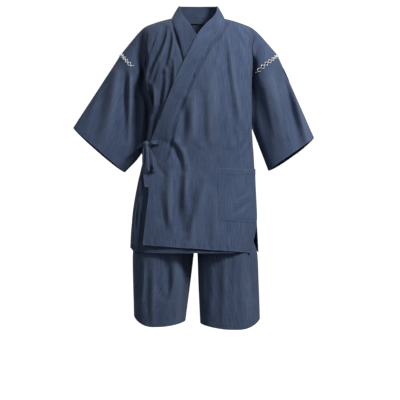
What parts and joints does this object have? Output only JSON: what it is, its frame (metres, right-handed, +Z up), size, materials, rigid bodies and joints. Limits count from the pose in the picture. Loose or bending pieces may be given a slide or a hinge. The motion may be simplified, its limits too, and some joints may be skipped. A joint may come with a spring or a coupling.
{
  "type": "jinbei, jacket and shorts",
  "caption": "Worn cotton jinbei set as a hollow form: crossed-front jacket with side tie, patch pocket and cord-laced sleeves, and knee-length shorts.",
  "frame": {"origin": "middle of the neck base, level with the shoulder line, where the wearer's neck and shoulders hold the jacket", "axes": "+Z up, the front faces -Y, +X is the wearer's left"},
  "size_m": [0.795, 0.2793, 1.0676],
  "materials": {
    "denim": "matt indigo slub cotton weave",
    "cord": "matt white cotton cord"
  },
  "bodies": {
    "root": {"back": "denim", "front_outer": "denim", "front_inner": "denim", "collar_outer": "denim", "collar_inner": "denim", "sleeve_left": "denim", "sleeve_right": "denim", "lacing_left": "cord", "lacing_right": "cord", "pocket": "denim", "tie_knot": "denim", "tie_strap_front": "denim", "tie_strap_side": "denim", "tie_loop_small": "denim", "tie_loop_long": "denim", "tie_tail_long": "denim", "tie_tail_short": "denim", "shorts_front_left": "denim", "shorts_back_left": "denim", "shorts_front_right": "denim", "shorts_back_right": "denim", "shorts_waistband": "denim"}
  },
  "joints": []
}
